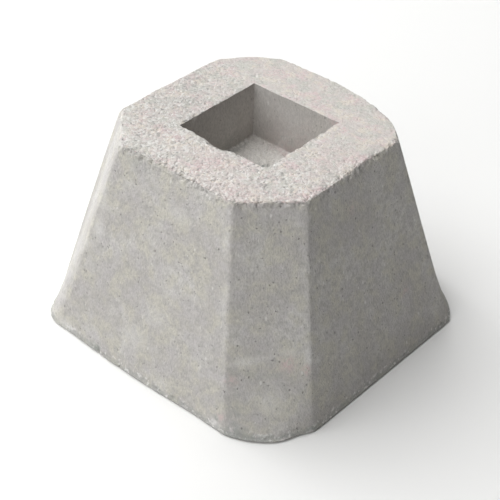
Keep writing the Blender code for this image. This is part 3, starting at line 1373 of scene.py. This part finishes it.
@dataclass
class PierBlock:
    """The whole casting: its moulded form, its relief, its finish and its exposed grains."""

    form: CastForm
    relief: Relief = Relief()
    finish: CastFinish = CastFinish()
    grains: ExposedGrains = ExposedGrains()
    grain_finish: GrainFinish = GrainFinish()
    target_faces: int = 190000
    sharp_angle: float = 38.0
    spots: tuple[Spot, ...] = (
        # Painted light: the left chamfer, which faces the key lamp, is painted paler all the way down.
        Spot(Stain.BLOOM, (-0.0850, -0.0880, 0.1900), (0.0140, 0.0140, 0.0250), 0.7),
        Spot(Stain.BLOOM, (-0.0930, -0.0960, 0.1500), (0.0150, 0.0150, 0.0300), 0.7),
        Spot(Stain.BLOOM, (-0.1020, -0.1050, 0.1100), (0.0150, 0.0150, 0.0300), 0.7),
        Spot(Stain.BLOOM, (-0.1110, -0.1140, 0.0700), (0.0150, 0.0150, 0.0300), 0.7),
        Spot(Stain.BLOOM, (-0.1240, -0.1260, 0.0300), (0.0150, 0.0150, 0.0250), 0.5),
        # Painted highlights down the arris beside it.
        Spot(Stain.BLOOM, (-0.0640, -0.1002, 0.1935), (0.0045, 0.0045, 0.0050), 0.9),
        Spot(Stain.BLOOM, (-0.0720, -0.1151, 0.1442), (0.0045, 0.0060, 0.0140), 0.6),
        Spot(Stain.BLOOM, (-0.0740, -0.1218, 0.1140), (0.0055, 0.0060, 0.0100), 0.9),
        Spot(Stain.BLOOM, (-0.0850, -0.1255, 0.0950), (0.0060, 0.0060, 0.0080), 0.7),
        # A pale fleck high on the front left side, and a faint streak slanting down below it.
        Spot(Stain.BLOOM, (0.0106, -0.1108, 0.1622), (0.0090, 0.0080, 0.0060), 0.6),
        Spot(Stain.BLOOM, (0.0141, -0.1275, 0.0934), (0.0080, 0.0080, 0.0070), 0.5),
        Spot(Stain.BLOOM, (0.0030, -0.1339, 0.0665), (0.0140, 0.0080, 0.0090), 0.5),
        Spot(Stain.BLOOM, (-0.0120, -0.1408, 0.0378), (0.0120, 0.0080, 0.0110), 0.5),
        # Pale stretches of the arris left of the front chamfer.
        Spot(Stain.BLOOM, (0.0620, -0.1106, 0.1633), (0.0040, 0.0060, 0.0120), 0.6),
        Spot(Stain.BLOOM, (0.0710, -0.1224, 0.1146), (0.0040, 0.0060, 0.0160), 0.5),
        # The pale line across the front chamfer with its flecks, and the dark line under it.
        Spot(Stain.BLOOM, (0.0939, -0.1269, 0.0627), (0.0110, 0.0110, 0.0032), 0.6),
        Spot(Stain.BLOOM, (0.1077, -0.1119, 0.0677), (0.0080, 0.0080, 0.0024), 0.5),
        Spot(Stain.BLOOM, (0.1215, -0.0970, 0.0716), (0.0120, 0.0120, 0.0026), 0.6),
        Spot(Stain.BLOOM, (0.0980, -0.1217, 0.0661), (0.0090, 0.0090, 0.0030), 0.7),
        Spot(Stain.DAMP, (0.1050, -0.1220, 0.0530), (0.0260, 0.0260, 0.0022), 0.35),
        # White chips on the arris right of the front chamfer, and a mottled patch low on it.
        Spot(Stain.BLOOM, (0.1326, -0.0861, 0.0680), (0.0035, 0.0040, 0.0130), 1.3),
        Spot(Stain.BLOOM, (0.1356, -0.0775, 0.0600), (0.0030, 0.0030, 0.0040), 1.2),
        Spot(Stain.BLOOM, (0.1196, -0.1193, 0.0317), (0.0100, 0.0100, 0.0120), 0.6),
        # The scratch low on the right side.
        Spot(Stain.BLOOM, (0.1443, 0.0783, 0.0237), (0.0050, 0.0060, 0.0110), 0.4),
        # White chips along the foot.
        Spot(Stain.BLOOM, (0.1480, -0.0980, 0.0030), (0.0035, 0.0035, 0.0030), 1.4),
        Spot(Stain.BLOOM, (0.0853, -0.1482, 0.0075), (0.0035, 0.0035, 0.0035), 1.2),
        Spot(Stain.BLOOM, (0.0230, -0.1480, 0.0120), (0.0060, 0.0060, 0.0060), 0.6),
        Spot(Stain.BLOOM, (-0.1000, -0.1460, 0.0070), (0.0120, 0.0060, 0.0050), 0.9),
        # Painted light on the socket's back right wall, brightening its shaded left part.
        Spot(Stain.BLOOM, (-0.0150, 0.0475, 0.1640), (0.0350, 0.0040, 0.0300), 0.45),
        # Pinkish patches below the pale line, at the foot and on the right side.
        Spot(Stain.BLUSH, (0.1217, -0.1006, 0.0623), (0.0050, 0.0050, 0.0070), 1.0),
        Spot(Stain.BLUSH, (0.1338, -0.0906, 0.0565), (0.0030, 0.0040, 0.0035), 1.0),
        Spot(Stain.BLUSH, (0.0908, -0.1353, 0.0490), (0.0060, 0.0060, 0.0035), 0.8),
        Spot(Stain.BLUSH, (0.0902, -0.1463, 0.0149), (0.0035, 0.0035, 0.0040), 1.0),
        Spot(Stain.BLUSH, (0.1350, 0.0430, 0.0623), (0.0060, 0.0050, 0.0050), 0.5),
        Spot(Stain.BLUSH, (0.1101, -0.0107, 0.1653), (0.0060, 0.0050, 0.0050), 0.5),
        # Pink clouds on the top, and a pinkish corner and floor edge in the socket.
        Spot(Stain.BLUSH, (0.0097, -0.0695, 0.1950), (0.0200, 0.0150, 0.0040), 0.5),
        Spot(Stain.BLUSH, (0.0566, -0.0881, 0.1950), (0.0200, 0.0130, 0.0040), 0.5),
        Spot(Stain.BLUSH, (0.0798, -0.0040, 0.1950), (0.0150, 0.0250, 0.0040), 0.4),
        Spot(Stain.BLUSH, (0.0442, 0.0475, 0.1929), (0.0050, 0.0050, 0.0035), 1.1),
        Spot(Stain.BLUSH, (0.0000, 0.0440, 0.1420), (0.0300, 0.0060, 0.0060), 0.5),
        # Painted shade along the foot: contact shadow at the floor and darkening low on the front
        # chamfer's bulging foot, with one dark pinhole.
        Spot(Stain.DAMP, (0.1486, -0.0958, 0.0046), (0.0050, 0.0050, 0.0030), 0.8),
        Spot(Stain.DAMP, (0.1420, -0.1085, 0.0045), (0.0050, 0.0050, 0.0035), 0.9),
        Spot(Stain.DAMP, (0.1200, -0.1330, 0.0040), (0.0100, 0.0100, 0.0040), 0.5),
        Spot(Stain.DAMP, (0.1026, -0.1452, 0.0060), (0.0120, 0.0080, 0.0060), 0.6),
        Spot(Stain.DAMP, (0.1000, -0.1390, 0.0250), (0.0100, 0.0080, 0.0150), 0.25),
        Spot(Stain.DAMP, (0.0854, -0.1472, 0.0114), (0.0016, 0.0020, 0.0016), 1.4),
        Spot(Stain.DAMP, (-0.0580, -0.1470, 0.0060), (0.0050, 0.0060, 0.0040), 0.8),
        # A dull place under the rim, and the duller left of the top.
        Spot(Stain.DAMP, (-0.0398, -0.1037, 0.1870), (0.0150, 0.0060, 0.0100), 0.25),
        Spot(Stain.DAMP, (-0.0900, 0.0200, 0.1950), (0.0060, 0.0060, 0.0040), 0.4),
        Spot(Stain.DAMP, (-0.0750, -0.0200, 0.1950), (0.0400, 0.0600, 0.0060), 0.2),
        # Darker places on the socket's floor: dark open places, and painted shadow of the mouth's rough
        # lip.
        Spot(Stain.DAMP, (-0.0250, -0.0100, 0.1420), (0.0200, 0.0100, 0.0050), 0.45),
        Spot(Stain.DAMP, (-0.0065, 0.0150, 0.1420), (0.0075, 0.0060, 0.0050), 0.9),
        Spot(Stain.DAMP, (-0.0440, 0.0150, 0.1420), (0.0050, 0.0200, 0.0040), 0.5),
    )

    @staticmethod
    def shaped(thing: bpy.types.Object, tree: bpy.types.NodeTree, sizes: dict[str, float], name: str
               ) -> bpy.types.Object:
        """Run a Geometry Nodes tree over an object and keep the result as a plain mesh.

        Args:
            thing: The object that the tree reads.
            tree: The tree.
            sizes: The tree's sizes, by input name.
            name: The new object's name.

        Returns:
            The new object, at the origin.
        """
        modifier = thing.modifiers.new(tree.name, "NODES")
        modifier.node_group = tree
        for item in tree.interface.items_tree:
            if item.in_out == "INPUT" and item.name in sizes:
                modifier[item.identifier] = sizes[item.name]
        view = bpy.context.evaluated_depsgraph_get()
        mesh = bpy.data.meshes.new_from_object(thing.evaluated_get(view), depsgraph=view)
        thing.modifiers.remove(modifier)
        mesh.name = name
        made = bpy.data.objects.new(name, mesh)
        bpy.context.scene.collection.objects.link(made)
        return made

    @staticmethod
    def thinned(thing: bpy.types.Object, target: int) -> None:
        """Collapse an object's flattest triangles until it has as many as wanted.

        Points that this leaves below the floor are put back on it.

        Args:
            thing: The object, changed in place.
            target: The number of triangles to keep.
        """
        thing.data.calc_loop_triangles()
        total = len(thing.data.loop_triangles)
        modifier = thing.modifiers.new("Thin", "DECIMATE")
        modifier.ratio = min(1.0, target / total)
        view = bpy.context.evaluated_depsgraph_get()
        mesh = bpy.data.meshes.new_from_object(thing.evaluated_get(view), depsgraph=view)
        thing.modifiers.remove(modifier)
        coarse = thing.data
        mesh.name = thing.name
        places = np.empty(len(mesh.vertices) * 3, dtype=np.float32)
        mesh.vertices.foreach_get("co", places)
        places[2::3] = np.maximum(places[2::3], 0.0)
        mesh.vertices.foreach_set("co", places)
        thing.data = mesh
        bpy.data.meshes.remove(coarse)

    def build(self) -> list[bpy.types.Object]:
        """Build the casting and its grains.

        Returns:
            The two pieces.
        """
        self.finish.make()
        smooth = bpy.data.objects.new("smooth_form", self.form.mesh(self.spots))
        bpy.context.scene.collection.objects.link(smooth)
        cast = self.shaped(smooth, self.relief.tree(), self.relief.sizes, "cast_concrete")
        tree = self.grains.tree(self.grain_finish.make())
        grains = self.shaped(cast, tree, self.grains.sizes, self.grains.name)
        bpy.data.objects.remove(smooth, do_unlink=True)
        self.thinned(cast, self.target_faces)
        cast.data.shade_smooth()
        cast.data.set_sharp_from_angle(angle=math.radians(self.sharp_angle))
        for piece in (cast, grains):
            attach(piece, BODY)
            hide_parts(NODE)
        return [cast, grains]


@dataclass(frozen=True)
class Softbox:
    """One soft square lamp, placed by its bearing round the block and its height."""

    name: str
    bearing: float
    rise: float
    distance: float
    side: float
    power: float
    tint: tuple[float, float, float] = (1.0, 1.0, 1.0)

    def hang(self, target: Vector) -> None:
        """Hang the lamp and aim it.

        Args:
            target: The point that it faces.
        """
        lamp = bpy.data.lights.new(self.name, "AREA")
        lamp.shape = "SQUARE"
        lamp.size = self.side
        lamp.energy = self.power
        lamp.color = self.tint
        thing = bpy.data.objects.new(self.name, lamp)
        bearing, rise = math.radians(self.bearing), math.radians(self.rise)
        away = Vector((
            math.cos(bearing) * math.cos(rise), math.sin(bearing) * math.cos(rise), math.sin(rise)
        ))
        thing.location = target + away * self.distance
        thing.rotation_euler = away.to_track_quat("Z", "Y").to_euler()
        bpy.context.scene.collection.objects.link(thing)


@dataclass(frozen=True)
class Studio:
    """A plain pale floor, soft lamps, and the camera at the photograph's viewing angle."""

    floor_side: float = 12.0
    floor_colour: Colour = (0.87, 0.87, 0.86, 1.0)
    sky: Colour = (1.0, 1.0, 1.0, 1.0)
    sky_strength: float = 0.02
    focus: Vector = Vector((0.0, 0.0, 0.09))
    lamps: tuple[Softbox, ...] = (
        Softbox("Key", bearing=205.0, rise=65.0, distance=4.4, side=5.0, power=236.0),
        Softbox("Left fill", bearing=190.0, rise=20.0, distance=4.4, side=3.4, power=62.0),
        Softbox("Front fill", bearing=280.0, rise=32.0, distance=4.4, side=3.4, power=56.0),
        Softbox("Back fill", bearing=150.0, rise=42.0, distance=4.4, side=3.4, power=52.0),
    )
    lens: float = 102.2455
    sensor: float = 36.0
    distance: float = 1.31561
    aim: Vector = Vector((-0.02304, 0.01875, 0.03892))
    heading: float = 40.4068
    dip: float = 36.8912
    roll: float = 1.4724

    def build(self) -> None:
        """Lay the floor, hang the lamps and set up the camera."""
        self.lay_floor()
        self.light_sky()
        for lamp in self.lamps:
            lamp.hang(self.focus)
        self.place_camera()

    def lay_floor(self) -> None:
        """Lay the pale floor that the block stands on."""
        material = bpy.data.materials.new("Pale floor")
        material.use_nodes = True
        shader = material.node_tree.nodes["Principled BSDF"]
        shader.inputs["Base Color"].default_value = self.floor_colour
        shader.inputs["Roughness"].default_value = 1.0
        shader.inputs["Specular IOR Level"].default_value = 0.0
        mesh = bpy.data.meshes.new("Floor")
        cage = bmesh.new()
        bmesh.ops.create_grid(cage, x_segments=1, y_segments=1, size=self.floor_side / 2.0)
        cage.to_mesh(mesh)
        cage.free()
        mesh.materials.append(material)
        floor = bpy.data.objects.new("Floor", mesh)
        bpy.context.scene.collection.objects.link(floor)

    def light_sky(self) -> None:
        """Light everything softly from all round."""
        world = bpy.data.worlds.new("Soft studio")
        world.use_nodes = True
        background = world.node_tree.nodes["Background"]
        background.inputs["Color"].default_value = self.sky
        background.inputs["Strength"].default_value = self.sky_strength
        bpy.context.scene.world = world
        bpy.context.scene.view_settings.view_transform = "Standard"

    def place_camera(self) -> None:
        """Place the camera by its aim, distance, heading, dip and roll."""
        data = bpy.data.cameras.new("Camera")
        data.lens = self.lens
        data.sensor_width = self.sensor
        camera = bpy.data.objects.new("Camera", data)
        turn = (
            Matrix.Rotation(math.radians(self.heading), 4, "Z")
            @ Matrix.Rotation(math.radians(90.0 - self.dip), 4, "X")
            @ Matrix.Rotation(math.radians(self.roll), 4, "Z")
        )
        away = turn @ Vector((0.0, 0.0, self.distance))
        camera.matrix_world = Matrix.Translation(self.aim + away) @ turn
        bpy.context.scene.collection.objects.link(camera)
        bpy.context.scene.camera = camera


def main() -> None:
    """Build the block and its studio."""
    logging.basicConfig(level=logging.INFO, format="%(name)s: %(message)s")
    low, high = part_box(NODE)
    block = PierBlock(CastForm(foot_side=high.x - low.x, height=high.z))
    for piece in block.build():
        piece.data.calc_loop_triangles()
        LOG.info("%s: %d triangles", piece.name, len(piece.data.loop_triangles))
    Studio().build()


if __name__ == "__main__":
    main()
